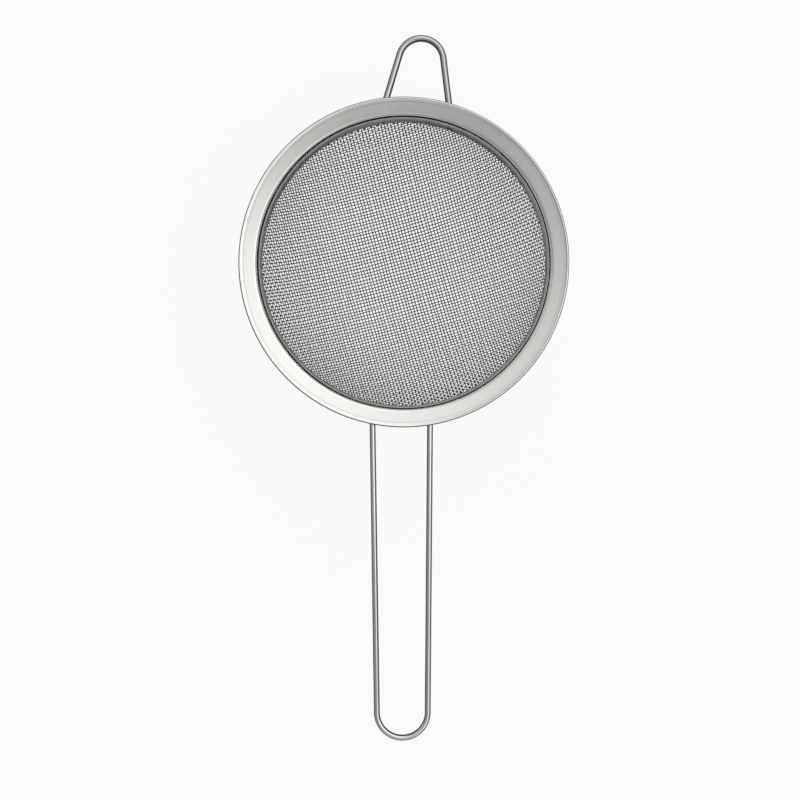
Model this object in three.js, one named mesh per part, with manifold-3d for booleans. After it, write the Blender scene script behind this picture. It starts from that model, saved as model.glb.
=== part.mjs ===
// Mesh strainer: a hemmed sheet rim, a bowl of woven wire cloth clamped in it, a long wire handle and a
// short wire hook. Millimetres, +Z up. The bowl stands on the origin, with the handle toward -Y.

import * as THREE from 'three';
import { mergeVertices } from 'three/addons/utils/BufferGeometryUtils.js';
import Module from 'manifold-3d';

// Rim: sheet ring with a hemmed edge, a sloping flange and a collar
const RIM_DIAMETER = 140;
const SHEET = 0.5;
const HEM_WIDTH = 2.2;
const HEM_FOLD = 0.45; // radius at the middle of the sheet
const FLANGE_WIDTH = 7.9; // from the hem's outside to the collar's inside
const FLANGE_SLOPE = 10; // degrees, falling inwards
const CORNER_RADIUS = 2; // at the middle of the sheet
const COLLAR_DEPTH = 10.5; // from the rim's top to the collar's lower edge

// Clamp band: strip ring inside the collar, flared at the top over the cloth's cut edge
const BAND_SHEET = 0.4;
const BAND_SINK = 2.3; // from the rim's top to the band's upper edge
const BAND_DEPTH = 8.4; // from the rim's top to the band's lower edge
const LIP_HEIGHT = 1.4;
const LIP_FLARE = 0.7;

// Wire cloth, drawn with fewer and thicker wires than the real one so that it weighs the same
const BOWL_DEPTH = 36.5; // from the clamped margin to the middle of the cloth at the bottom
const CLOTH_PITCH = 9;
const CLOTH_WIRE = 1;
const CLOTH_TURN = 16; // degrees from the handle's line
const MARGIN_SHEET = 0.4; // cloth crushed flat in the clamp
const MARGIN_SHOWING = 2.5; // crushed cloth below the collar
const FOOT_CUT = 0.5; // flat at the bottom of the bowl

// Handle and hook: two bent wires whose ends are turned down along the collar
const HANDLE_WIRE = 2.5;
const HANDLE_LENGTH = 133.1; // beyond the rim
const HANDLE_SPREAD = 24.4; // between the wire's two legs at the rim's edge
const HANDLE_BEND = 10.8; // radius at the middle of the wire
const HANDLE_OFFSET = 1; // of the handle's middle from the bowl's axis, toward -X
const HOOK_WIRE = 2.8;
const HOOK_LENGTH = 27;
const HOOK_SPREAD = 26.2;
const HOOK_BEND = 9.5;
const HOOK_TURN = 4.9; // degrees off the bowl's middle line
const LEG_BEND = 3.5;
const LEG_DROP = 5; // from the wire's level to its cut end
const WELD = 1; // thickness of the bead
const WELD_RISE = 2.5; // up both sides of the wire's end

// Fit and facets
const CLEARANCE = 0.3; // between neighbours
const RING_FACETS = 60;
const WIRE_SIDES = 10;
const WELD_SIDES = 6;

const rad = THREE.MathUtils.degToRad;
const polar = (x, y, radius, degrees) =>
  new THREE.Vector2(x + radius * Math.cos(rad(degrees)), y + radius * Math.sin(rad(degrees)));
const wasm = await Module();
wasm.setup();

// Radii of the clamped stack, from the rim inwards
const rimRadius = RIM_DIAMETER / 2;
const collarInside = rimRadius - FLANGE_WIDTH;
const collarOutside = collarInside + SHEET;
const marginOutside = collarInside - CLEARANCE;
const marginInside = marginOutside - MARGIN_SHEET;
const bandOutside = marginInside - CLEARANCE;

// The bowl is a cap of a sphere that hangs from the margin's lower edge. Heights are below the rim's top.
const marginRadius = (marginOutside + marginInside) / 2;
const marginEnd = -COLLAR_DEPTH - MARGIN_SHOWING;
const bowlRadius = (marginRadius ** 2 + BOWL_DEPTH ** 2) / (2 * BOWL_DEPTH);
const bowlCentre = marginEnd - BOWL_DEPTH + bowlRadius;
const bowlReach = Math.atan2(marginRadius, bowlRadius - BOWL_DEPTH);
const footLevel = marginEnd - BOWL_DEPTH - CLOTH_WIRE + FOOT_CUT;

// The wires run just under the hem and stand just off the collar
const hemThickness = SHEET + 2 * HEM_FOLD;
const wireLevel = (wire) => -hemThickness - CLEARANCE - wire / 2;
const legRadius = (wire) => collarOutside + CLEARANCE + wire / 2;

// Steel finishes
const steel = (color, roughness) => new THREE.MeshStandardMaterial({ color, roughness, metalness: 1 });
const polishedSheet = steel(0xdcdbd8, 0.22);
const brushedSheet = steel(0x9c9b99, 0.38);
const clothSteel = steel(0xa8a7a4, 0.32);
const wireSteel = steel(0xc4c3c1, 0.25);
const weldSteel = steel(0x8a8680, 0.5);

// Arc in the plane as points, ends included
function arc(x, y, radius, from, to, steps) {
  return Array.from({ length: steps + 1 }, (_, i) => polar(x, y, radius, from + ((to - from) * i) / steps));
}

// Outline of a bent sheet: its middle line moved half the thickness to either side, with mitred corners
function sheetOutline(middle, thickness) {
  const side = (sign) =>
    middle.map((point, i) => {
      const before = point.clone().sub(middle[Math.max(i - 1, 0)]);
      const after = middle[Math.min(i + 1, middle.length - 1)].clone().sub(point);
      const along = before.normalize().add(after.normalize()).normalize();
      const lean = i > 0 && i < middle.length - 1 ? Math.abs(after.dot(along)) : 1;
      const reach = (sign * thickness) / 2 / lean;
      return new THREE.Vector2(point.x - along.y * reach, point.y + along.x * reach);
    });
  return [...side(1), ...side(-1).reverse()];
}

// Ring turned about the Z axis from a closed outline of radius and height
function turned(outline) {
  const loop = THREE.ShapeUtils.area(outline) < 0 ? outline.slice().reverse() : outline;
  return new THREE.LatheGeometry([...loop, loop[0]], RING_FACETS).rotateX(Math.PI / 2);
}

// Path through given stations: a straight takes one step and a bend several
class WirePath extends THREE.Curve {
  constructor(stations) {
    super();
    this.stations = stations;
  }

  getPoint(t, target = new THREE.Vector3()) {
    const last = this.stations.length - 2;
    const place = t * (last + 1);
    const i = Math.min(Math.floor(place), last);
    return target.lerpVectors(this.stations[i], this.stations[i + 1], place - i);
  }

  getUtoTmapping(u) {
    return u;
  }
}

// Round bar along a path. A full circle is drawn with two sides for each curve segment.
function roundBar(stations, thickness, sides) {
  const section = new THREE.Shape().absarc(0, 0, thickness / 2, 0, 2 * Math.PI);
  const extrudePath = new WirePath(stations);
  const steps = stations.length - 1;
  const curveSegments = sides / 2;
  return new THREE.ExtrudeGeometry(section, { extrudePath, steps, curveSegments, bevelEnabled: false });
}

function toSolid(geometry) {
  const plain = geometry.clone();
  plain.deleteAttribute('normal');
  plain.deleteAttribute('uv');
  const merged = mergeVertices(plain, 1e-4);
  const vertProperties = new Float32Array(merged.attributes.position.array);
  const triVerts = new Uint32Array(merged.index.array);
  return new wasm.Manifold(new wasm.Mesh({ numProp: 3, vertProperties, triVerts }));
}

function toGeometry(solid) {
  const mesh = solid.getMesh();
  const geometry = new THREE.BufferGeometry();
  geometry.setAttribute('position', new THREE.BufferAttribute(mesh.vertProperties, 3));
  geometry.setIndex(new THREE.BufferAttribute(mesh.triVerts, 1));
  geometry.computeVertexNormals();
  return geometry;
}

// Rim ring: collar, rounded corner, sloping flange, flat hem folded under
function rimRing() {
  const hemStart = rimRadius - HEM_WIDTH;
  const foldCentre = rimRadius - SHEET / 2 - HEM_FOLD;
  const top = -SHEET / 2;
  const collar = collarInside + SHEET / 2;
  const cornerX = collar + CORNER_RADIUS;
  const tangent = polar(cornerX, 0, CORNER_RADIUS, 90 + FLANGE_SLOPE);
  const flangeAtTangent = top - (hemStart - tangent.x) * Math.tan(rad(FLANGE_SLOPE));
  const cornerY = flangeAtTangent - tangent.y;
  const middle = [
    new THREE.Vector2(collar, -COLLAR_DEPTH),
    ...arc(cornerX, cornerY, CORNER_RADIUS, 180, 90 + FLANGE_SLOPE, 4),
    new THREE.Vector2(hemStart, top),
    ...arc(foldCentre, top - HEM_FOLD, HEM_FOLD, 90, -90, 4),
    new THREE.Vector2(hemStart, top - 2 * HEM_FOLD),
  ];
  return turned(sheetOutline(middle, SHEET));
}

// Clamp band: straight strip with a flared upper lip
function clampBand() {
  const strip = bandOutside - BAND_SHEET / 2;
  const lipStart = -BAND_SINK - LIP_HEIGHT;
  const middle = [
    new THREE.Vector2(strip, -BAND_DEPTH),
    new THREE.Vector2(strip, lipStart),
    new THREE.Vector2(strip + LIP_FLARE / 4, lipStart + LIP_HEIGHT / 2),
    new THREE.Vector2(strip + LIP_FLARE, -BAND_SINK),
  ];
  return turned(sheetOutline(middle, BAND_SHEET));
}

// Crossings of the cloth on the unit sphere. Pressing keeps every cell side as long as the pitch, so each
// crossing lies one pitch from its two inner neighbours, and cells shear toward the diagonals.
function clothCrossings() {
  const step = 2 * Math.asin(CLOTH_PITCH / 2 / bowlRadius);
  const count = Math.ceil(bowlReach / step) + 1;
  const pole = new THREE.Vector3(0, 0, -1);
  const warp = new THREE.Vector3(Math.cos(rad(CLOTH_TURN)), Math.sin(rad(CLOTH_TURN)), 0);
  const weft = pole.clone().cross(warp);
  const found = new Map();
  const at = (i, j) => found.get(`${i},${j}`);
  const keep = (i, j, place) => found.set(`${i},${j}`, place);
  const onCircle = (way, n) => pole.clone().multiplyScalar(Math.cos(n * step)).addScaledVector(way, Math.sin(n * step));
  for (let n = -count; n <= count; n += 1) {
    keep(n, 0, onCircle(warp, n));
    keep(0, n, onCircle(weft, n));
  }
  const next = (a, b, inner) => {
    const share = Math.cos(step) / (1 + a.dot(b));
    const rise = 1 - 2 * share ** 2 * (1 + a.dot(b));
    if (rise <= 0) return undefined;
    const normal = a.clone().cross(b).normalize().multiplyScalar(Math.sqrt(rise));
    const middle = a.clone().add(b).multiplyScalar(share);
    return middle.addScaledVector(normal, normal.dot(inner) > 0 ? -1 : 1);
  };
  for (const [si, sj] of [[1, 1], [1, -1], [-1, 1], [-1, -1]]) {
    for (let m = 1; m <= count; m += 1) {
      for (let n = 1; n <= count; n += 1) {
        const [i, j] = [si * m, sj * n];
        const [a, b, inner] = [at(i - si, j), at(i, j - sj), at(i - si, j - sj)];
        const place = a && b && inner ? next(a, b, inner) : undefined;
        if (place) keep(i, j, place);
      }
    }
  }
  return { at, count };
}

// Woven cloth as one closed skin. Every crossing is a block of two layers, one for each wire. A wire leaves
// the outer layer of one block and enters the inner layer of the next, so it goes over and under in turn.
function clothSkin() {
  const { at, count } = clothCrossings();
  const blockReach = bowlReach - (2 * CLOTH_WIRE) / bowlRadius;
  const endReach = bowlReach + CLOTH_WIRE / 2 / bowlRadius;
  const ways = [[1, 0], [0, 1], [-1, 0], [0, -1]];
  const slope = (place) => Math.acos(-place.z);
  const onBowl = (place, layer) => place.clone().multiplyScalar(bowlRadius + layer * CLOTH_WIRE);
  const positions = [];
  const index = [];
  const blocks = new Map();
  const addPoint = (point) => positions.push(point.x, point.y, point.z) / 3 - 1;
  const addQuad = (a, b, c, d) => index.push(a, b, c, a, c, d);

  const heading = (i, j, di, dj) => {
    const here = at(i, j);
    const ahead = at(i + di, j + dj) ?? here;
    const behind = at(i - di, j - dj) ?? here;
    return ahead.clone().sub(behind).projectOnPlane(here).normalize();
  };
  const addBlock = (i, j) => {
    const place = at(i, j);
    const warp = heading(i, j, 1, 0);
    const weft = heading(i, j, 0, 1);
    const half = CLOTH_WIRE / 2 / warp.clone().cross(weft).length();
    const corners = [[1, 1], [-1, 1], [-1, -1], [1, -1]].map(([u, v]) =>
      [-1, 0, 1].map((layer) =>
        addPoint(onBowl(place, layer).addScaledVector(warp, u * half).addScaledVector(weft, v * half))));
    const layer = (n) => corners.map((corner) => corner[n]);
    addQuad(...layer(2));
    addQuad(...layer(0).reverse());
    blocks.set(`${i},${j}`, { place, corners, even: (i + j) % 2 === 0, headings: [warp, weft] });
  };
  // Rectangle of one layer on one side of a block, counter-clockwise as seen from outside the block
  const opening = (block, side, outer) => {
    const [start, end] = [block.corners[(side + 3) % 4], block.corners[side]];
    const low = outer ? 1 : 0;
    return [start[low], end[low], end[low + 1], start[low + 1]];
  };
  const wireIsOuter = (block, side) => block.even === (side % 2 === 0);
  const addWire = (from, to) => {
    for (let k = 0; k < 4; k += 1) {
      const n = (k + 1) % 4;
      addQuad(from[n], to[n], to[k], from[k]);
    }
  };
  // Last stretch of a wire, from a block at the bowl's edge into the crushed margin
  const addEnd = (block, side, from, beyond) => {
    const [a, b] = [slope(block.place), slope(beyond)];
    const place = block.place.clone().lerp(beyond, (endReach - a) / (b - a)).normalize();
    const ahead = beyond.clone().sub(block.place).projectOnPlane(place).normalize();
    const across = place.clone().cross(ahead);
    const half = CLOTH_WIRE / 2;
    const to = [[-1, -1], [1, -1], [1, 1], [-1, 1]].map(([s, t]) =>
      addPoint(onBowl(place, 0).addScaledVector(across, s * half).addScaledVector(place, t * half)));
    addWire(from, to);
    addQuad(...to);
  };

  for (let i = -count; i <= count; i += 1) {
    for (let j = -count; j <= count; j += 1) {
      if (at(i, j) && slope(at(i, j)) < blockReach) addBlock(i, j);
    }
  }
  for (const [key, block] of blocks) {
    const [i, j] = key.split(',').map(Number);
    ways.forEach(([di, dj], side) => {
      const outer = wireIsOuter(block, side);
      const from = opening(block, side, outer);
      const beyond = at(i + di, j + dj);
      const neighbour = blocks.get(`${i + di},${j + dj}`);
      addQuad(...opening(block, side, !outer));
      if (!neighbour && beyond && slope(beyond) > endReach) addEnd(block, side, from, beyond);
      else if (!neighbour) addQuad(...from);
      else if (side < 2) {
        const back = opening(neighbour, side + 2, wireIsOuter(neighbour, side));
        addWire(from, [back[1], back[0], back[3], back[2]]);
      }
    });
  }
  const geometry = new THREE.BufferGeometry();
  geometry.setAttribute('position', new THREE.Float32BufferAttribute(positions, 3));
  geometry.setIndex(index);
  return geometry.translate(0, 0, bowlCentre);
}

// Mesh bowl: cloth joined to its crushed margin, with a flat cut at the bottom
function meshBowl() {
  const marginStart = -BAND_SINK - LIP_HEIGHT - CLEARANCE;
  const margin = turned([
    new THREE.Vector2(marginInside, marginEnd),
    new THREE.Vector2(marginOutside, marginEnd),
    new THREE.Vector2(marginOutside, marginStart),
    new THREE.Vector2(marginInside, marginStart),
  ]);
  const below = new THREE.BoxGeometry(RIM_DIAMETER, RIM_DIAMETER, BOWL_DEPTH);
  below.translate(0, 0, footLevel - BOWL_DEPTH / 2);
  return toGeometry(toSolid(clothSkin()).add(toSolid(margin)).subtract(toSolid(below)));
}

// Plan of a wire loop toward +Y: a round end, and two straight legs that pass under the rim's edge at the
// given spread and stop beside the collar. Side 1 gives the right leg, and -1 the left leg's mirror image.
function loopPlan({ wire, length, spread, bend, offset }, side) {
  const centre = new THREE.Vector2(side * offset, rimRadius + length - wire / 2 - bend);
  const edge = new THREE.Vector2(centre.x + spread / 2, rimRadius);
  const toEdge = edge.clone().sub(centre);
  const lean = Math.atan2(toEdge.y, toEdge.x) + Math.acos(bend / toEdge.length());
  const touch = polar(centre.x, centre.y, bend, THREE.MathUtils.radToDeg(lean));
  const inwards = edge.clone().sub(touch).normalize();
  const along = edge.dot(inwards);
  const run = -along - Math.sqrt(along ** 2 - edge.lengthSq() + legRadius(wire) ** 2);
  const foot = edge.clone().addScaledVector(inwards, run);
  return { centre, lean, inwards, foot };
}

// Stations of one leg from its cut end beside the collar up to the level run
function legStations(sizes, side) {
  const { foot, inwards } = loopPlan(sizes, side);
  const level = wireLevel(sizes.wire);
  const end = new THREE.Vector3(foot.x, foot.y, level - LEG_DROP);
  const turn = arc(0, 0, LEG_BEND, 0, 90, 4).map(({ x, y }) => {
    const back = LEG_BEND - x;
    return new THREE.Vector3(foot.x - inwards.x * back, foot.y - inwards.y * back, level - LEG_BEND + y);
  });
  return [end, ...turn].map((point) => point.setX(point.x * side));
}

function wireLoop(sizes) {
  const { centre, lean } = loopPlan(sizes, 1);
  const start = THREE.MathUtils.radToDeg(lean);
  const end = arc(centre.x, centre.y, sizes.bend, start, 180 - start, 14);
  const round = end.map(({ x, y }) => new THREE.Vector3(x, y, wireLevel(sizes.wire)));
  const stations = [...legStations(sizes, 1), ...round, ...legStations(sizes, -1).reverse()];
  return roundBar(stations, sizes.wire, WIRE_SIDES);
}

// Weld bead: a horseshoe round a wire's cut end, in the corner between the wire and the collar
function weldBead(sizes, side) {
  const { wire } = sizes;
  const { foot } = loopPlan(sizes, side);
  const outwards = new THREE.Vector3(foot.x * side, foot.y, 0).normalize();
  const sideways = new THREE.Vector3(-outwards.y, outwards.x, 0);
  const radius = collarOutside + CLEARANCE + WELD / 2;
  const half = Math.sqrt((wire / 2 + CLEARANCE + WELD / 2) ** 2 - (legRadius(wire) - radius) ** 2);
  const tip = wireLevel(wire) - LEG_DROP + CLEARANCE;
  const shape = [
    new THREE.Vector2(-half, tip + WELD_RISE),
    ...arc(0, tip, half, 180, 360, 6),
    new THREE.Vector2(half, tip + WELD_RISE),
  ];
  const stations = shape.map(({ x, y }) =>
    outwards.clone().multiplyScalar(radius).addScaledVector(sideways, x).setZ(y));
  return roundBar(stations, WELD, WELD_SIDES);
}

function piece(name, geometry, material) {
  const mesh = new THREE.Mesh(geometry, material);
  mesh.name = name;
  return mesh;
}

const handleSizes = {
  wire: HANDLE_WIRE,
  length: HANDLE_LENGTH,
  spread: HANDLE_SPREAD,
  bend: HANDLE_BEND,
  offset: HANDLE_OFFSET,
};
const handle = new THREE.Group();
handle.rotation.z = Math.PI;
handle.add(
  piece('handle_wire', wireLoop(handleSizes), wireSteel),
  piece('handle_weld_left', weldBead(handleSizes, 1), weldSteel),
  piece('handle_weld_right', weldBead(handleSizes, -1), weldSteel),
);

const hookSizes = { wire: HOOK_WIRE, length: HOOK_LENGTH, spread: HOOK_SPREAD, bend: HOOK_BEND, offset: 0 };
const hook = new THREE.Group();
hook.rotation.z = -rad(HOOK_TURN);
hook.add(
  piece('hook_wire', wireLoop(hookSizes), wireSteel),
  piece('hook_weld_left', weldBead(hookSizes, -1), weldSteel),
  piece('hook_weld_right', weldBead(hookSizes, 1), weldSteel),
);

const strainer = new THREE.Group();
strainer.position.z = -footLevel;
strainer.add(
  piece('rim_ring', rimRing(), polishedSheet),
  piece('clamp_band', clampBand(), brushedSheet),
  piece('mesh_bowl', meshBowl(), clothSteel),
  handle,
  hook,
);

export default strainer;
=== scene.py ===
"""Mesh strainer in stainless steel, standing on a pale table with its rim level, seen from above."""

import bpy
import numpy as np
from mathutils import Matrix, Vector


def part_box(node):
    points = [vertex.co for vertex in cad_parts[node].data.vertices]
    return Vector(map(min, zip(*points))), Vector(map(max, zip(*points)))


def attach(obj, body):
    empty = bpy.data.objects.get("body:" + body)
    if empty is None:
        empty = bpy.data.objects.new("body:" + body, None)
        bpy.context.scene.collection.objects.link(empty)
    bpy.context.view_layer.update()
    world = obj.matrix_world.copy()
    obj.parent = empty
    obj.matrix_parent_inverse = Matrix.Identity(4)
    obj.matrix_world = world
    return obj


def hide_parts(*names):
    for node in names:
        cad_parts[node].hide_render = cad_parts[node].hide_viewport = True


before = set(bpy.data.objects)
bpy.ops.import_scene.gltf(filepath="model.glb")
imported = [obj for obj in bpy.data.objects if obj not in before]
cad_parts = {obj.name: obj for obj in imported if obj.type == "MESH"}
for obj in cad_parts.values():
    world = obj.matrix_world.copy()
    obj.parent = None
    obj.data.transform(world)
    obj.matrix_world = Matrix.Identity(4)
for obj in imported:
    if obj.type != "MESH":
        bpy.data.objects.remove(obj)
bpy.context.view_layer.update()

# Viewpoint: the photograph looks straight down on the rim, from over the root of the handle.
# The rim fills a little over two fifths of the picture's width.
rim_low, rim_high = (np.array(corner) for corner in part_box("rim_ring"))
rim_radius = (rim_high[0] - rim_low[0]) / 2
rim_top = rim_high[2]
camera_height = 0.555
picture_width = 0.3382
camera_over = (-0.0016, -0.0584)
camera_data = bpy.data.cameras.new("camera")
camera_data.sensor_width = 36.0
camera_data.lens = camera_data.sensor_width * camera_height / picture_width
camera_data.clip_start = 0.01
camera = bpy.data.objects.new("camera", camera_data)
camera.location = (*camera_over, rim_top + camera_height)
bpy.context.collection.objects.link(camera)
bpy.context.scene.camera = camera


# Rim ring: one drawn ring of half-millimetre stainless sheet. Its outer edge is hemmed under, its flange
# falls gently inwards, and its collar goes down round the bowl. It is bright, with fine turned lines, a
# painted highlight on the hem's crown, painted shade on the hem's outermost edge and painted shade down the
# collar.
class Value:
    """One output of a node tree. Arithmetic on it, with numbers on either side, adds Math nodes."""

    def __init__(self, nodes, socket):
        self.nodes = nodes
        self.socket = socket

    def maths(self, operation, first, second):
        return self.nodes.add("ShaderNodeMath", {"operation": operation}, {0: first, 1: second})

    def __add__(self, other):
        return self.maths("ADD", self, other)

    def __radd__(self, other):
        return self.maths("ADD", other, self)

    def __sub__(self, other):
        return self.maths("SUBTRACT", self, other)

    def __rsub__(self, other):
        return self.maths("SUBTRACT", other, self)

    def __mul__(self, other):
        return self.maths("MULTIPLY", self, other)

    def __rmul__(self, other):
        return self.maths("MULTIPLY", other, self)

    def __truediv__(self, other):
        return self.maths("DIVIDE", self, other)


class Nodes:
    """Adds nodes to one tree: a node's type, its settings, then the values or links of its sockets."""

    def __init__(self, tree):
        self.tree = tree
        tree.nodes.clear()

    def add(self, kind, settings=None, sockets=None, output=0):
        node = self.tree.nodes.new(kind)
        for name, value in (settings or {}).items():
            setattr(node, name, value)
        for name, value in (sockets or {}).items():
            if isinstance(value, Value):
                self.tree.links.new(value.socket, node.inputs[name])
            else:
                node.inputs[name].default_value = value
        return Value(self, node.outputs[output]) if len(node.outputs) else None

    def place(self):
        """Object coordinates, in metres."""
        return self.add("ShaderNodeTexCoord", output="Object")

    def stretch(self, place, factors):
        """Coordinates times one factor for each axis."""
        return self.add("ShaderNodeVectorMath", {"operation": "MULTIPLY"}, {0: place, 1: factors})

    def noise(self, place, scale, detail=3.0):
        """Cloudy pattern from 0 to 1, with scale spots to the metre."""
        sockets = {"Vector": place, "Scale": scale, "Detail": detail}
        return self.add("ShaderNodeTexNoise", {"noise_dimensions": "3D"}, sockets)

    def blend(self, share, first, second):
        """Colour from first to second as share goes from 0 to 1."""
        return self.add("ShaderNodeMix", {"data_type": "RGBA"}, {0: share, 6: first, 7: second}, output=2)

    def ease(self, value, low, high, to_low=0.0, to_high=1.0):
        """Number that goes smoothly from to_low to to_high as value goes from low to high."""
        sockets = {"Value": value, 1: low, 2: high, 3: to_low, 4: to_high}
        return self.add("ShaderNodeMapRange", {"interpolation_type": "SMOOTHSTEP"}, sockets)


def steel_finish(name, edge_tint, paint):
    """Metal whose colour, roughness and height come from paint(nodes). Edge tint darkens it at a slant."""
    material = bpy.data.materials.new(name)
    material.use_nodes = True
    nodes = Nodes(material.node_tree)
    colour, roughness, height, depth = paint(nodes)
    bump = nodes.add("ShaderNodeBump", None, {"Strength": 1.0, "Distance": depth, "Height": height})
    sockets = {
        "Base Color": colour,
        "Roughness": roughness,
        "Metallic": 1.0,
        "Specular Tint": (edge_tint, edge_tint, edge_tint, 1),
        "Normal": bump,
    }
    shader = nodes.add("ShaderNodeBsdfPrincipled", None, sockets)
    nodes.add("ShaderNodeOutputMaterial", None, {"Surface": shader})
    return material


def piece(name, points, polygons, finish, slot, *stands_for):
    """Mesh from an array of points and arrays of polygons, riding on the strainer's one body. Four-sided
    faces are smooth, and the caps on wire ends are flat."""
    mesh = bpy.data.meshes.new(name)
    corners = np.concatenate([block.ravel() for block in polygons])
    sizes = np.concatenate([np.full(len(block), block.shape[1]) for block in polygons])
    starts = np.concatenate([[0], np.cumsum(sizes)[:-1]])
    mesh.vertices.add(len(points))
    mesh.vertices.foreach_set("co", points.astype(np.float32).ravel())
    mesh.loops.add(len(corners))
    mesh.loops.foreach_set("vertex_index", corners.astype(np.int32))
    mesh.polygons.add(len(sizes))
    mesh.polygons.foreach_set("loop_start", starts.astype(np.int32))
    mesh.polygons.foreach_set("use_smooth", sizes == 4)
    mesh.update(calc_edges=True)
    mesh.materials.append(finish)
    made = bpy.data.objects.new(name, mesh)
    bpy.context.collection.objects.link(made)
    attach(made, "root")
    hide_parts(*stands_for)
    return made


def unit(vectors):
    """Vectors along the last axis, brought to length one."""
    return vectors / np.linalg.norm(vectors, axis=-1, keepdims=True)


def arc(centre, radius, start, end, steps):
    """Points on a circle of that radius, from the start to the end angle in degrees."""
    angles = np.radians(np.linspace(start, end, steps + 1))
    return np.stack([centre[0] + radius * np.cos(angles), centre[1] + radius * np.sin(angles)], axis=1)


def straight(start, end, steps):
    """Points at even steps from start to end."""
    share = np.linspace(0, 1, steps + 1)[:, None]
    return (1 - share) * np.asarray(start) + share * np.asarray(end)


def sheet_outline(middle, thickness):
    """Closed outline of a bent sheet: the middle line moved half the thickness to either side along its
    normal, with a half round at both cut edges."""
    steps = unit(np.diff(middle, axis=0))
    along = unit(np.concatenate([steps[:1], steps[:-1] + steps[1:], steps[-1:]]))
    normal = np.stack([-along[:, 1], along[:, 0]], axis=1)
    half = thickness / 2

    def cut_edge(point, way):
        heading = np.degrees(np.arctan2(way[1], way[0]))
        return arc(point, half, heading + 90, heading - 90, 6)

    left, right = middle + half * normal, middle - half * normal
    far_edge, near_edge = cut_edge(middle[-1], along[-1]), cut_edge(middle[0], -along[0])
    return np.concatenate([left[1:-1], far_edge, right[-2:0:-1], near_edge])


def turned(outline, facets):
    """Ring swept by a closed outline of radius and height once round the Z axis."""
    turns = np.linspace(0, 2 * np.pi, facets, endpoint=False)[:, None]
    x, y = outline[:, 0] * np.cos(turns), outline[:, 0] * np.sin(turns)
    z = np.broadcast_to(outline[:, 1], x.shape)
    return np.stack([x, y, z], axis=-1)


def ring_faces(facets, points):
    """Quads of a turned ring, which wraps both round the axis and round its outline."""
    i, j = np.meshgrid(np.arange(facets), np.arange(points), indexing="ij")
    i_next, j_next = (i + 1) % facets, (j + 1) % points
    quads = [i * points + j, i * points + j_next, i_next * points + j_next, i_next * points + j]
    return np.stack(quads, axis=-1).reshape(-1, 4)


sheet = 0.0005
hem_fold = 0.00033
hem_slope = 36
hem_step = 0.0001
hem_return = 0.0015
flange_slope = 10
flange_width = 0.0079
corner_radius = 0.0014
ring_facets = 360
die_line = rim_radius - 0.00215
die_line_width = 0.0004
die_line_share = 0.22
# Painted highlight on the hem's crown starts at the first of these radii and is full at the second.
highlight_from, highlight_to = rim_radius - 0.0009, rim_radius - 0.0007
# Painted shade on the hem's outermost edge starts at the first of these radii and is full at the second.
edge_shade_from, edge_shade_to = rim_radius - 0.00055, rim_radius - 0.00025
fine_lines, broad_lines = 9000.0, 1300.0
polish_dark, polish_bright = (0.76, 0.742, 0.717, 1), (0.88, 0.866, 0.845, 1)
die_grey = (0.3, 0.295, 0.288, 1)
# Colour of the painted highlight on the hem's crown.
painted_highlight_white = (0.95, 0.94, 0.925, 1)
# Colour of the painted shade on the hem's outermost edge.
edge_painted_shade = (0.1, 0.099, 0.0975, 1)
# Colour of the painted shade down the inside of the collar.
collar_painted_shade = (0.3, 0.296, 0.29, 1)
collar_inside = rim_radius - flange_width
collar_foot = rim_low[2]

collar_line = collar_inside + sheet / 2
fold_centre = np.array([rim_radius - sheet / 2 - hem_fold, rim_top - sheet / 2 - hem_fold])
hem_line = arc(fold_centre, hem_fold, 90 + hem_slope, -90, 20)
down_the_step = np.radians(hem_slope)
flange_start = hem_line[0] - hem_step * np.array([np.cos(down_the_step), np.sin(down_the_step)])
corner_x = collar_line + corner_radius
corner_turn = np.radians(90 + flange_slope)
touch = np.array([corner_x + corner_radius * np.cos(corner_turn), 0.0])
touch[1] = flange_start[1] - (flange_start[0] - touch[0]) * np.tan(np.radians(flange_slope))
corner = np.array([corner_x, touch[1] - corner_radius * np.sin(corner_turn)])
rim_line = np.concatenate([
    straight((collar_line, collar_foot), (collar_line, corner[1]), 8)[:-1],
    arc(corner, corner_radius, 180, 90 + flange_slope, 14),
    straight(touch, flange_start, 8)[1:],
    hem_line,
    [hem_line[-1] - np.array([hem_return, 0.0])],
])


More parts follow.
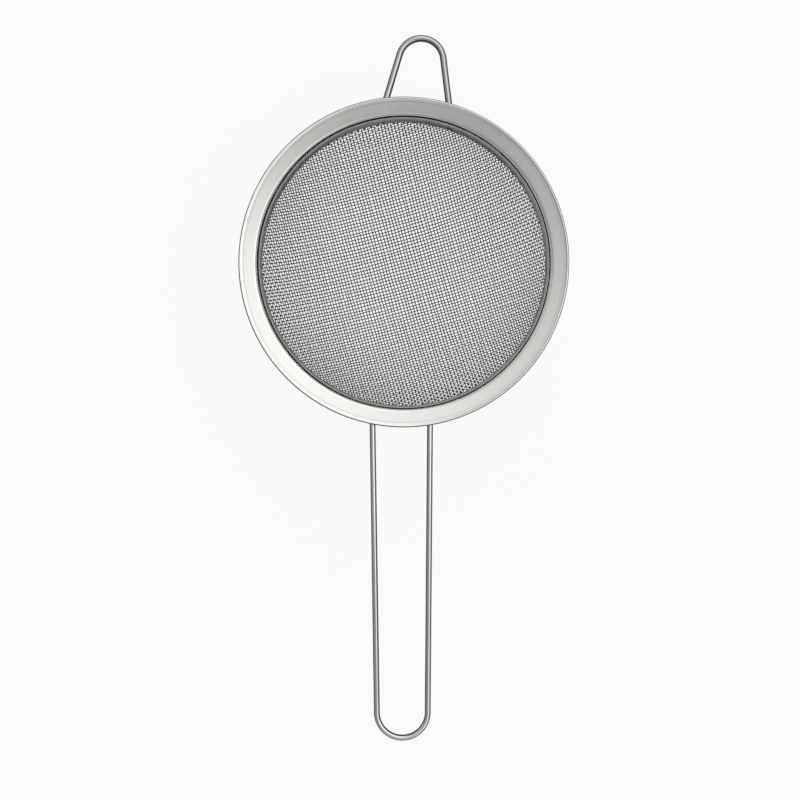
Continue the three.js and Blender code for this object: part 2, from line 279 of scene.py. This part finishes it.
def bright_sheet(nodes):
    """Bright rolled steel: cloudy polish, lines round the axis from turning the ring, a faint ring where
    the hemming die has pressed, a painted highlight on the hem's crown, painted shade on its outermost
    edge, and painted shade down the collar."""
    place = nodes.place()
    flat = nodes.stretch(place, (1, 1, 0))
    radius = nodes.add("ShaderNodeVectorMath", {"operation": "LENGTH"}, {0: flat}, output="Value")
    fine, broad = (
        nodes.add("ShaderNodeTexNoise", {"noise_dimensions": "1D"}, {"W": radius, "Scale": scale})
        for scale in (fine_lines, broad_lines)
    )
    clouds = nodes.noise(place, 60.0)
    polish = nodes.blend(0.5 * clouds + 0.5 * broad, polish_dark, polish_bright)
    from_line = radius - die_line
    die_mark = nodes.ease(from_line * from_line, 0.0, die_line_width**2, die_line_share, 0.0)
    pressed = nodes.blend(die_mark, polish, die_grey)
    # Painted highlight: the hem's crown is blended towards near white.
    crown = nodes.ease(radius, highlight_from, highlight_to)
    with_highlight = nodes.blend(crown, pressed, painted_highlight_white)
    # Painted shade: the hem's outermost edge is blended to dark grey.
    edge = nodes.ease(radius, edge_shade_from, edge_shade_to)
    edge_shaded = nodes.blend(edge, with_highlight, edge_painted_shade)
    # Painted shade: down the inside of the collar the colour is blended to dark grey.
    inside = nodes.add("ShaderNodeAttribute", {"attribute_name": "inside"}, output="Fac")
    colour = nodes.blend(nodes.ease(inside, 0.9, 1.0), edge_shaded, collar_painted_shade)
    return colour, 0.2 + 0.08 * clouds + 0.05 * fine, 0.6 * fine + 0.4 * broad, 2e-6


rim_grid = turned(sheet_outline(rim_line, sheet), ring_facets)
rim_ring = piece(
    "rim_ring_sheet",
    rim_grid.reshape(-1, 3),
    [ring_faces(*rim_grid.shape[:2])],
    steel_finish("bright_sheet", 0.5, bright_sheet),
    "polished_sheet",
    "rim_ring",
)
# Share of painted shade on the collar: one on its straight wall, falling to none round the corner.
inside = np.zeros(rim_grid.shape[:2], dtype=np.float32)
inside[:, : len(rim_line) - 2] = np.interp(rim_line[1:-1, 0], (collar_line, corner_x), (1, 0))
rim_ring.data.attributes.new("inside", "FLOAT", "POINT").data.foreach_set("value", inside.ravel())

# Mesh bowl: plain-woven stainless wire cloth, cut round, pressed into a bowl and trapped by its margin
# between collar and band. Its wires can't stretch, so the cells shear and close up towards the edge.
cloth_pitch = 0.00145
cloth_wire = 0.00043
cloth_sides = 5
cloth_turn = np.radians(16)
clearance = 0.0003
margin_sheet = 0.0004
margin_showing = 0.0025
margin_hidden = 0.0075
bowl_depth = 0.0365
looseness = 0.065
wire_spread = 0.4
wave_cells = 8, 24
along_share = 0.02
pattern_gap = 0.5
# Painted shade on the wires starts at the first of these heights and is full at the second, in wire radii
# from the middle.
shade_low, shade_high = -0.15, 0.1
crush = 0.4
crush_run = 0.0015
hug_run = 0.004
margin_radius = collar_inside - clearance - margin_sheet / 2
margin_foot = collar_foot - margin_showing
bowl_radius = (margin_radius**2 + bowl_depth**2) / (2 * bowl_depth)
bowl_centre = np.array([0.0, 0.0, margin_foot - bowl_depth + bowl_radius])
bowl_reach = np.arctan2(margin_radius, bowl_radius - bowl_depth)
cloth_reach = bowl_reach + (margin_showing + margin_hidden) / bowl_radius


def pressed_net(count, step):
    """Directions from the bowl's centre to the crossings of one quarter of the cloth. Its first two wires
    lie on great circles. Each further crossing is the mirror image of the one before it, in the plane
    through its two neighbours and the centre, which keeps every side of every cell one step long."""
    turns = step * np.arange(count + 1)
    net = np.zeros((count + 1, count + 1, 3))
    net[:, 0, 0] = np.sin(turns)
    net[0, :, 1] = np.sin(turns)
    net[:, 0, 2] = -np.cos(turns)
    net[0, :, 2] = -np.cos(turns)
    for diagonal in range(2, 2 * count + 1):
        i = np.arange(max(1, diagonal - count), min(diagonal - 1, count) + 1)
        j = diagonal - i
        mirror = unit(np.cross(net[i - 1, j], net[i, j - 1]))
        inner = net[i - 1, j - 1]
        net[i, j] = inner - 2 * np.sum(inner * mirror, axis=1, keepdims=True) * mirror
    return net


def tube(path, side, radius, sides):
    """Rings of points round paths: at each turn, the radius times its cosine along the side direction, made
    square to the path, and times its sine along the third direction."""
    along = unit(np.gradient(path, axis=-2))
    square = unit(side - np.sum(side * along, axis=-1, keepdims=True) * along)
    third = np.cross(along, square)
    turns = 2 * np.pi * np.arange(sides)[:, None] / sides
    ring = np.cos(turns) * square[..., None, :] + np.sin(turns) * third[..., None, :]
    return path[..., None, :] + np.asarray(radius)[..., None, None] * ring


def tube_faces(kept, sides):
    """Quads between the kept neighbouring rings of each row of rings, and a cap on both ends of a run."""
    number = np.cumsum(kept.ravel()).reshape(kept.shape) - 1
    joined = kept[:, :-1] & kept[:, 1:]
    here, ahead = (sides * part[joined][:, None] for part in (number[:, :-1], number[:, 1:]))
    j = np.arange(sides)
    j_next = (j + 1) % sides
    quads = np.stack([here + j, here + j_next, ahead + j_next, ahead + j], axis=-1).reshape(-1, 4)
    beside = np.pad(kept, ((0, 0), (1, 1)))
    first, last = kept & ~beside[:, :-2], kept & ~beside[:, 2:]
    caps = [sides * number[first][:, None] + j[::-1], sides * number[last][:, None] + j]
    return [quads, np.concatenate(caps)]


def follow_wire(made, flank, crown, along):
    """Stores where each point lies round its wire, to the flank and to the crown, and along it, much
    shortened so that a pattern on these coordinates is drawn out along the wire."""
    drawn = made.data.attributes.new("drawn", "FLOAT_VECTOR", "POINT")
    places = np.stack(np.broadcast_arrays(flank, crown, along_share * along), axis=-1)
    drawn.data.foreach_set("vector", places.astype(np.float32).ravel())


def drawn_steel(radius, dark, bright, painted_shade, shade_from, shade_to, roughness, depth):
    """Drawn wire: streaks along it from the drawing die, over slow changes of tone, and painted shade, a
    dark colour on its upper or inner side. The painted shade begins and is full where the squared distance
    from the wire's crown, in radii, has these values, and ends near mid height."""

    def paint(nodes):
        drawn = nodes.add("ShaderNodeAttribute", {"attribute_name": "drawn"}, output="Vector")
        sideways, up = (nodes.add("ShaderNodeSeparateXYZ", None, {0: drawn}, output=axis) for axis in "XY")
        # Painted shade: flank is its share, on the upper or inner side beside the crown, where the colour
        # is blended to dark.
        beside = nodes.ease(sideways * sideways, shade_from * radius**2, shade_to * radius**2)
        flank = beside * nodes.ease(up, shade_low * radius, shade_high * radius)
        streaks = nodes.noise(drawn, 5000.0, 4.0)
        tone = nodes.noise(drawn, 700.0, 2.0)
        share = nodes.ease(0.6 * streaks + 0.4 * tone, 0.35, 0.65)
        bare = nodes.blend(share, (*dark, 1), (*bright, 1))
        colour = nodes.blend(flank, bare, (*painted_shade, 1))
        return colour, roughness + 0.1 * tone + 0.1 * flank, streaks, depth

    return paint


def weave(crossings, outward, kept, over):
    """Tubes along the rows of crossings. A wire keeps its height for a quarter pitch to either side of each
    crossing, over times one wire radius out, and slants to the next."""
    here = crossings[:, 1:-1]
    before = here + (crossings[:, :-2] - here) / 4
    after = here + (crossings[:, 2:] - here) / 4
    lift = cloth_wire / 2 * over[:, 1:-1, None] * outward[:, 1:-1]
    path = np.stack([before + lift, after + lift], axis=2).reshape(len(here), -1, 3)
    side = np.repeat(outward[:, 1:-1], 2, axis=1)
    whole = np.repeat(kept[:, 1:-1], 2, axis=1)
    points = tube(path, side, cloth_wire / 2, cloth_sides)
    return points[whole], tube_faces(whole, cloth_sides)


def wander(count):
    """Sideways shift of each wire at each crossing, in cells: one amount for the wire, and a slow wave."""
    amount = loom.normal(0, wire_spread, count)
    length = loom.uniform(*wave_cells, count)
    phase = loom.uniform(0, 1, count)
    turns = np.arange(count) / length[:, None] + phase[:, None]
    return looseness * (amount[:, None] + np.sin(2 * np.pi * turns))


loom = np.random.default_rng(3)
step = 2 * np.arcsin(cloth_pitch / 2 / bowl_radius)
half_count = int(cloth_reach / step) + 3
quarter = pressed_net(half_count, step)
numbers = np.arange(-half_count, half_count + 1)
ways = quarter[np.abs(numbers)][:, np.abs(numbers)]
ways[..., 0] *= np.sign(numbers)[:, None]
ways[..., 1] *= np.sign(numbers)
turn = np.array([
    [np.cos(cloth_turn), np.sin(cloth_turn), 0],
    [-np.sin(cloth_turn), np.cos(cloth_turn), 0],
    [0, 0, 1],
])
ways = ways @ turn
along_rows, along_columns = (unit(np.gradient(ways, axis=axis)) for axis in (0, 1))
row_shift, column_shift = wander(len(numbers)), wander(len(numbers)).T
ways = unit(ways + step * (row_shift[..., None] * along_rows + column_shift[..., None] * along_columns))
slope = np.arccos(np.clip(-ways[..., 2], -1, 1))
# A tiny rise keeps the level direction from having no length at the bottom of the bowl.
tiny = 1e-9
level = unit(ways * (1, 1, 0) + (0, 0, tiny)) * (1, 1, 0)
rise = (margin_foot + bowl_radius * (slope - bowl_reach))[..., None]
# From the collar's foot upwards the margin is pressed outwards until its wires lie against the collar.
hug = np.interp(rise, (collar_foot, collar_foot + hug_run), (margin_radius, collar_inside - cloth_wire / 2))
in_bowl = (slope <= bowl_reach)[..., None]
crossings = np.where(in_bowl, bowl_centre + bowl_radius * ways, hug * level + rise * (0, 0, 1))
outward = np.where(in_bowl, ways, level)
kept = slope <= cloth_reach
squeeze = np.interp(crossings[..., 2], (collar_foot - crush_run, collar_foot), (1, crush))
over = squeeze * np.where((numbers[:, None] + numbers) % 2 == 0, 1, -1)
# Cloth wires: dark and bright tones, then the colour of the painted shade on their inner side, and where
# that shade begins and is full.
cloth_tones = (0.45, 0.446, 0.44), (0.6, 0.595, 0.587), (0.03, 0.0297, 0.0293), -1.0, 0.2
cloth_steel = steel_finish("cloth_steel", 0.0, drawn_steel(cloth_wire / 2, *cloth_tones, 0.2, 3e-6))
turns = 2 * np.pi * np.arange(cloth_sides) / cloth_sides
for name, swap, sign in (("cloth_warp", (0, 1), 1), ("cloth_weft", (1, 0), -1)):
    net, out = (np.transpose(grid, (*swap, 2)) for grid in (crossings, outward))
    whole = np.transpose(kept, swap)
    points, faces = weave(net, out, whole, sign * np.transpose(over, swap))
    made = piece(name, points.reshape(-1, 3), faces, cloth_steel, "cloth_steel", "mesh_bowl")
    wires, stations = np.nonzero(np.repeat(whole[:, 1:-1], 2, axis=1))
    along = cloth_pitch / 2 * stations[:, None] + pattern_gap * wires[:, None]
    follow_wire(made, cloth_wire / 2 * np.sin(turns), -cloth_wire / 2 * np.cos(turns), along)

# Clamp band: a stainless strip ring pressed inside the collar, which holds the cloth's edge against it. Its
# top lip flares out over the cut cloth, a little more to one side, and the current that welded the wires
# has left four dimpled marks on it.
band_low, band_high = (np.array(corner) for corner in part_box("clamp_band"))
band_sheet = 0.0004
lip_height = 0.0014
lip_flare = 0.00062
lip_sway = 0.00013
lip_sway_turn = np.radians(-40)
mark_radius = 0.0009
mark_depth = 0.00018
mark_lift = 0.0016
strip_steps = 30
lip_steps = 12
rub_from, rub_to = band_high[2] - 0.0004, band_high[2] - 0.0001
strip_dark, strip_bright = (0.42, 0.417, 0.411, 1), (0.56, 0.555, 0.549, 1)
rubbed_grey = (0.45, 0.446, 0.438, 1)
scorch_brown = (0.06, 0.055, 0.05, 1)
band_line = collar_inside - 2 * clearance - margin_sheet - band_sheet / 2
lip_foot = band_high[2] - lip_height
flare = np.linspace(0, 1, lip_steps + 1)[1:, None]
band_middle = np.concatenate([
    straight((band_line, band_low[2]), (band_line, lip_foot), strip_steps),
    np.hstack([band_line + lip_flare * flare**2, lip_foot + lip_height * flare]),
])
band_grid = turned(sheet_outline(band_middle, band_sheet), 2 * ring_facets)
band_points = band_grid.reshape(-1, 3)
in_lip = np.clip((band_points[:, 2] - lip_foot) / lip_height, 0, 1) ** 2
azimuth = np.arctan2(band_points[:, 1], band_points[:, 0])
sway = lip_sway * in_lip * np.cos(azimuth - lip_sway_turn)
band_points = band_points + sway[:, None] * unit(band_points * (1, 1, 0))

weld_nodes = ("handle_weld_left", "handle_weld_right", "hook_weld_left", "hook_weld_right")
weld_middles = np.array([np.mean(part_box(node), axis=0) for node in weld_nodes])
weld_ways = unit(weld_middles * (1, 1, 0))
mark_places = band_line * weld_ways + weld_middles * (0, 0, 1) + (0, 0, mark_lift)
from_mark = np.linalg.norm(band_points[:, None] - mark_places, axis=2)
marks = np.sum(np.exp(-((from_mark / mark_radius) ** 2)), axis=1)
band_points = band_points + mark_depth * marks[:, None] * unit(band_points * (1, 1, 0))


def band_steel(nodes):
    """Satin strip with rolling lines round it, rubbed spots along its lip, and dull dark brown spots where
    current has passed."""
    place = nodes.place()
    rolled = nodes.noise(nodes.stretch(place, (1, 1, 40)), 120.0, 4.0)
    grain = nodes.noise(place, 2500.0, 2.0)
    mark = nodes.add("ShaderNodeAttribute", {"attribute_name": "mark"}, output="Fac")
    scorch = nodes.ease(mark, 0.15, 0.7)
    height = nodes.add("ShaderNodeSeparateXYZ", None, {0: place}, output="Z")
    rubbed = nodes.ease(height, rub_from, rub_to) * nodes.ease(grain, 0.3, 0.6)
    plain = nodes.blend(rolled, strip_dark, strip_bright)
    lipped = nodes.blend(rubbed, plain, rubbed_grey)
    colour = nodes.blend(scorch, lipped, scorch_brown)
    roughness = 0.3 + 0.12 * rolled + 0.2 * scorch
    return colour, roughness, 0.7 * rolled + 0.3 * grain, 8e-6


clamp_band = piece(
    "clamp_band_strip",
    band_points,
    [ring_faces(*band_grid.shape[:2])],
    steel_finish("band_steel", 0.8, band_steel),
    "band_sheet",
    "clamp_band",
)
mark_attribute = clamp_band.data.attributes.new("mark", "FLOAT", "POINT")
mark_attribute.data.foreach_set("value", marks.astype(np.float32))

# Handle: one 2.5 mm stainless wire, bent to a long narrow loop. Its two ends pass under the rim, turn
# down along the collar and are welded there. The wire is bright as drawn, with faint streaks along it,
# and has painted shade, a dark colour, along its upper shoulders.
wire_sides = 28
turn_steps = 20
leg_steps = 40
tip_steps = 40
hem_thickness = 0.0014
under_hem = rim_top - hem_thickness - clearance
off_collar = collar_inside + sheet + clearance
leg_bend = 0.0035
leg_drop = 0.005
end_chamfer = 0.0003


def leg_plan(wire, length, spread, bend, offset):
    """Plan of a loop towards +Y: its round end's centre, the angle at which the right leg touches that end,
    the leg's direction inwards, the touching point, and the leg's foot, where it meets the leg radius."""
    centre = np.array([offset, rim_radius + length - wire / 2 - bend])
    edge = np.array([offset + spread / 2, rim_radius])
    away = edge - centre
    lean = np.arctan2(away[1], away[0]) + np.arccos(bend / np.linalg.norm(away))
    touch = centre + bend * np.array([np.cos(lean), np.sin(lean)])
    inwards = unit(edge - touch)
    along = edge @ inwards
    foot = edge + inwards * (-along - np.sqrt(along**2 - edge @ edge + (off_collar + wire / 2) ** 2))
    return centre, np.degrees(lean), inwards, touch, foot


def half_loop(wire, length, spread, bend, offset):
    """Right half of a loop's path, from the cut end beside the collar to the tip, with its plan heading."""
    centre, lean, inwards, touch, foot = leg_plan(wire, length, spread, bend, offset)
    level = under_hem - wire / 2
    back, up = arc((leg_bend, level - leg_bend), leg_bend, 180, 90, turn_steps).T
    low = level - leg_drop
    back = np.concatenate([[0, 0], back])
    up = np.concatenate([[low, low + end_chamfer], up])
    turn_plan = foot - inwards * back[:, None]
    level_plan = np.concatenate([
        straight(turn_plan[-1], touch, leg_steps)[1:-1],
        arc(centre, bend, lean, 90, tip_steps),
    ])
    path = np.concatenate([
        np.column_stack([turn_plan, up]),
        np.column_stack([level_plan, np.full(len(level_plan), level)]),
    ])
    steps = np.diff(level_plan, axis=0)
    headings = np.concatenate([np.tile(-inwards, (len(turn_plan), 1)), steps, [[-1.0, 0.0]]])
    return path, unit(headings)


def wire_loop(name, turn, tones, wire, length, spread, bend, offset):
    """Wire along the two halves of a loop, with chamfered ends, turned about Z by degrees. The left half is
    the mirror image of a right half with the opposite offset."""
    right, right_heading = half_loop(wire, length, spread, bend, offset)
    left, left_heading = half_loop(wire, length, spread, bend, -offset)
    path = np.concatenate([right, left[-2::-1] * (-1, 1, 1)])
    heading = np.concatenate([right_heading, left_heading[-2::-1] * (1, -1)])
    side = np.column_stack([-heading[:, 1], heading[:, 0], np.zeros(len(heading))])
    angle = np.radians(turn)
    spin = np.array([
        [np.cos(angle), np.sin(angle), 0],
        [-np.sin(angle), np.cos(angle), 0],
        [0, 0, 1],
    ])
    radius = np.full(len(path), wire / 2)
    radius[[0, -1]] -= end_chamfer
    points = tube(path, side, radius, wire_sides) @ spin
    made = piece(
        name + "_drawn",
        points.reshape(-1, 3),
        tube_faces(np.ones((1, len(path)), dtype=bool), wire_sides),
        steel_finish(name + "_steel", 0.0, drawn_steel(wire / 2, *tones, 0.14, 6e-6)),
        "wire_steel",
        name,
    )
    lengths = np.concatenate([[0], np.cumsum(np.linalg.norm(np.diff(path, axis=0), axis=1))])
    turns = 2 * np.pi * np.arange(wire_sides) / wire_sides
    follow_wire(made, wire / 2 * np.cos(turns), wire / 2 * np.sin(turns), lengths[:, None])


# Handle wire: dark and bright tones, then the colour of the painted shade on its upper shoulders, and where
# that shade begins and is full.
handle_tones = (0.74, 0.735, 0.728), (0.87, 0.865, 0.858), (0.1, 0.099, 0.098), 0.2, 0.56
handle_wire = 0.0025
handle_length = 0.1331
handle_spread = 0.0244
handle_bend = 0.0108
handle_offset = 0.0013
handle_turn = 180.2
handle_sizes = handle_wire, handle_length, handle_spread, handle_bend, handle_offset
wire_loop("handle_wire", handle_turn, handle_tones, *handle_sizes)

# Hook: a short loop of slightly thicker stainless wire on the other side, bent and welded to the collar
# in the same way. It rests on the far edge of a pot, and sits a few degrees off the handle's line. Its
# colours are a darker copy of the handle's steel, as painted shade.
# Painted shade: the hook's tones are a darker copy of the handle's drawn steel, and its third tone is
# painted shade on its upper shoulders.
hook_shaded_tones = (0.45, 0.446, 0.44), (0.57, 0.565, 0.557), (0.08, 0.079, 0.078), 0.2, 0.56
hook_wire = 0.0028
hook_length = 0.027
hook_spread = 0.0262
hook_bend = 0.0095
hook_turn = -4.9
wire_loop("hook_wire", hook_turn, hook_shaded_tones, hook_wire, hook_length, hook_spread, hook_bend, 0.0)

# Welds: a small bead round the cut end of each leg, in the corner between wire and collar. The metal is
# rippled where it froze, dull, and tinted straw by the heat.
weld = 0.001
weld_rise = 0.0025
weld_sides = 14
ripple_share = 0.14
ripple_count = 9
arm_steps = 16
round_steps = 40
end_steps = 8
end_blunt = 0.06
heat_straw, heat_blue = (0.42, 0.36, 0.27, 1), (0.36, 0.37, 0.39, 1)


def weld_finish(nodes):
    """Dull rippled weld metal with straw and grey-blue heat tint."""
    place = nodes.place()
    blotches = nodes.noise(place, 900.0)
    grain = nodes.noise(place, 6000.0)
    colour = nodes.blend(nodes.ease(blotches, 0.4, 0.6), heat_straw, heat_blue)
    return colour, 0.38 + 0.2 * grain, grain, 3e-5


weld_metal = steel_finish("weld_metal", 0.5, weld_finish)
bead_radius = off_collar + weld / 2


def bead_shape(wire):
    """Horseshoe of sideways places and heights, at an even distance round a wire's cut end."""
    half = np.sqrt((wire / 2 + clearance + weld / 2) ** 2 - (wire / 2 - weld / 2) ** 2)
    tip = under_hem - wire / 2 - leg_drop + clearance
    return np.concatenate([
        straight((-half, tip + weld_rise), (-half, tip), arm_steps)[:-1],
        arc((0, tip), half, 180, 360, round_steps),
        straight((half, tip), (half, tip + weld_rise), arm_steps)[1:],
    ])


for node, out in zip(weld_nodes, weld_ways):
    sideways = np.array([-out[1], out[0], 0])
    shape = bead_shape(handle_wire if node.startswith("handle") else hook_wire)
    share = np.linspace(0, 1, len(shape))
    from_end = np.minimum(share, 1 - share) * len(shape) / end_steps
    rounding = np.sqrt(1 - (1 - np.clip(from_end + end_blunt, 0, 1)) ** 2)
    swell = rounding * (1 - ripple_share * np.abs(np.sin(ripple_count * np.pi * share)))
    path = bead_radius * out + shape[:, :1] * sideways + shape[:, 1:] * (0, 0, 1)
    points = tube(path, np.tile(out, (len(path), 1)), weld / 2 * swell, weld_sides)
    faces = tube_faces(np.ones((1, len(path)), dtype=bool), weld_sides)
    piece(node + "_bead", points.reshape(-1, 3), faces, weld_metal, "weld_metal", node)

# Table: a wide pale top, which glows softly to the camera and in reflections so that it comes out white,
# and still takes the strainer's shadow.
table_radius = 4.0
table_glow = 0.9
table_corners = 96
table_edge = arc((0, 0), table_radius, 0, 360, table_corners)[:-1]
table_points = np.column_stack([table_edge, np.zeros(table_corners)])
table_mesh = bpy.data.meshes.new("table")
table_mesh.from_pydata(table_points.tolist(), [], [list(range(table_corners))])
table = bpy.data.objects.new("table", table_mesh)
bpy.context.collection.objects.link(table)
pale_top = bpy.data.materials.new("pale_top")
pale_top.use_nodes = True
nodes = Nodes(pale_top.node_tree)
fibres = nodes.noise(nodes.place(), 400.0)
paper = nodes.blend(fibres, (0.88, 0.88, 0.88, 1), (0.92, 0.92, 0.92, 1))
matt = nodes.add("ShaderNodeBsdfDiffuse", None, {"Color": paper})
glow = nodes.add("ShaderNodeEmission", None, {"Color": (1, 1, 1, 1), "Strength": 1.0})
ray_kinds = ("Camera", "Glossy", "Transmission")
camera_ray, glossy_ray, clear_ray = (
    nodes.add("ShaderNodeLightPath", output=f"Is {kind} Ray") for kind in ray_kinds
)
seen = camera_ray + glossy_ray + clear_ray
top = nodes.add("ShaderNodeMixShader", None, {0: table_glow * seen, 1: matt, 2: glow})
nodes.add("ShaderNodeOutputMaterial", None, {"Surface": top})
table_mesh.materials.append(pale_top)

# Studio: a grey room with pale walls and soft light panels in its ceiling. The broad one hangs towards the
# hook's right, and four small ones light the handle's legs, its end, the hook and the rim's left side. Each
# has a strength, and places across and ahead, as run over rise: where it begins, is full, fades and ends.
least_rise = 0.02
room_grey = 0.27
wall_glow = 0.72
wall_height = 0.3
panels = (
    (1.05, (-0.7, 0.3, 0.9, 1.7), (-0.22, 0.25, 1.2, 2.2)),
    (0.9, (0.28, 0.42, 0.9, 1.3), (-1.3, -1.0, 0.0, 0.3)),
    (0.5, (-0.4, -0.15, 0.15, 0.4), (-0.85, -0.7, -0.4, -0.25)),
    (0.6, (-0.5, -0.2, 0.2, 0.5), (1.0, 1.2, 1.8, 2.4)),
    (0.45, (-2.5, -1.6, -0.8, -0.5), (0.1, 0.4, 2.0, 3.0)),
)
world = bpy.data.worlds.new("studio")
bpy.context.scene.world = world
world.use_nodes = True
nodes = Nodes(world.node_tree)
way = nodes.add("ShaderNodeTexCoord", output="Generated")
run_x, run_y, rise = (nodes.add("ShaderNodeSeparateXYZ", None, {0: way}, output=axis) for axis in "XYZ")
upwards = rise.maths("MAXIMUM", rise, least_rise)
light = room_grey + nodes.ease(rise, 0.0, wall_height, wall_glow, 0.0)
for strength, across, ahead in panels:
    shine = strength
    for run, (begins, full, fades, ends) in ((run_x, across), (run_y, ahead)):
        place = run / upwards
        shine = shine * nodes.ease(place, begins, full) * nodes.ease(place, fades, ends, 1.0, 0.0)
    light = light + shine
background = nodes.add("ShaderNodeBackground", None, {"Color": (1, 1, 1, 1), "Strength": light})
nodes.add("ShaderNodeOutputWorld", None, {"Surface": background})

bpy.context.scene.view_settings.view_transform = "Standard"
bpy.context.view_layer.update()
